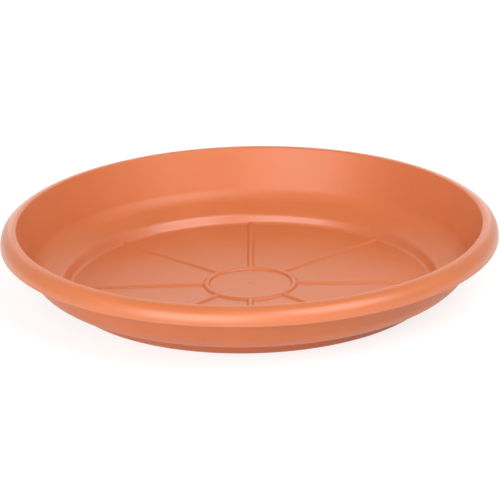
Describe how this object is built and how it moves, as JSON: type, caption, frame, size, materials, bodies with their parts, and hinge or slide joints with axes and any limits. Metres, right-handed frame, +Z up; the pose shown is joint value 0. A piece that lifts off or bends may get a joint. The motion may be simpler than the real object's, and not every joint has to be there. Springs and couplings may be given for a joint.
{
  "type": "plant saucer",
  "caption": "Round moulded plant saucer with a rolled hollow rim, sloping wall, stepped base and a floor with a centre ring and radial ribs that hold a pot above the drained water.",
  "frame": {"origin": "on the axis of the saucer, level with the flat foot that it stands on", "axes": "+Z up along the axis of the saucer; one rib points along +X and the others follow at equal angles"},
  "size_m": [0.25, 0.25, 0.0353],
  "materials": {
    "terracotta_plastic": "satin moulded polypropylene in terracotta orange"
  },
  "bodies": {
    "root": {"saucer": "terracotta_plastic"}
  },
  "joints": []
}
